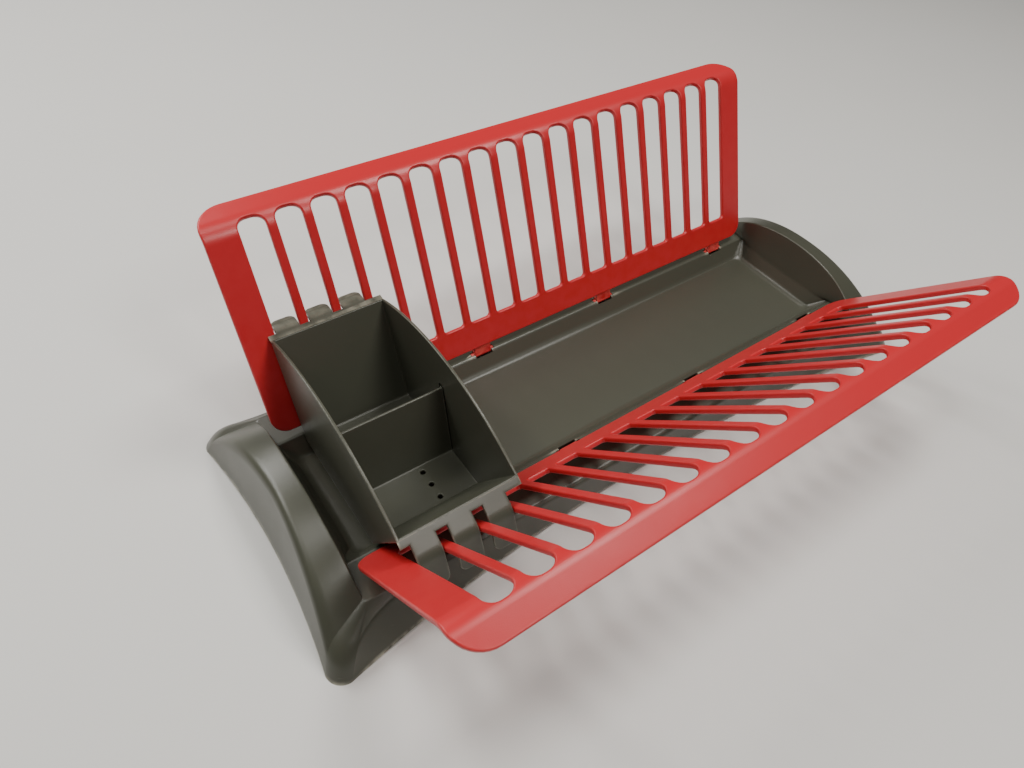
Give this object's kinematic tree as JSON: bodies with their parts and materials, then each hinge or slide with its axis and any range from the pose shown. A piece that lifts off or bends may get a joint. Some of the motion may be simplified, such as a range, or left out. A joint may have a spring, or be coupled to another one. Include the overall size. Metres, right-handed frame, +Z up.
{
  "type": "dish_drainer",
  "caption": "Long drip tray with arched ends; two slotted plate grilles with bent-over lips lean out from its rims to hold plates upright, and a lift-out cutlery box hangs between them.",
  "frame": {"origin": "middle of the outline seen from above, on the ground the four feet stand on", "axes": "+X along the length towards the end without the cutlery holder, +Y to the back grille, +Z up"},
  "size_m": [0.507, 0.2883, 0.1586],
  "materials": {
    "grey_plastic": "warm dark grey polypropylene with a satin sheen",
    "red_plastic": "bright red polypropylene with a satin sheen"
  },
  "bodies": {
    "base_tray": {"base_tray": "grey_plastic"},
    "front_grille": {"front_grille": "red_plastic"},
    "rear_grille": {"rear_grille": "red_plastic"},
    "cutlery_holder": {"cutlery_holder": "grey_plastic"}
  },
  "joints": [
    {"name": "front_grille_hinge", "type": "hinge", "parent": "base_tray", "child": "front_grille", "pos_m": [0, -0.0306, 0.0259], "axis": [-1, 0, 0], "range_deg": [0, 59]},
    {"name": "rear_grille_hinge", "type": "hinge", "parent": "base_tray", "child": "rear_grille", "pos_m": [0, 0.0738, 0.0259], "axis": [1, 0, 0], "range_deg": [0, 37.7]},
    {"name": "cutlery_holder_lift", "type": "slide", "parent": "base_tray", "child": "cutlery_holder", "axis": [0, 0, 1], "range_m": [0, 0.3709]}
  ],
  "couplings": [
    {"joint": "rear_grille_hinge", "follows": "front_grille_hinge", "ratio": 0.6385},
    {"joint": "cutlery_holder_lift", "follows": "front_grille_hinge", "m_per_rad": 0.36}
  ]
}
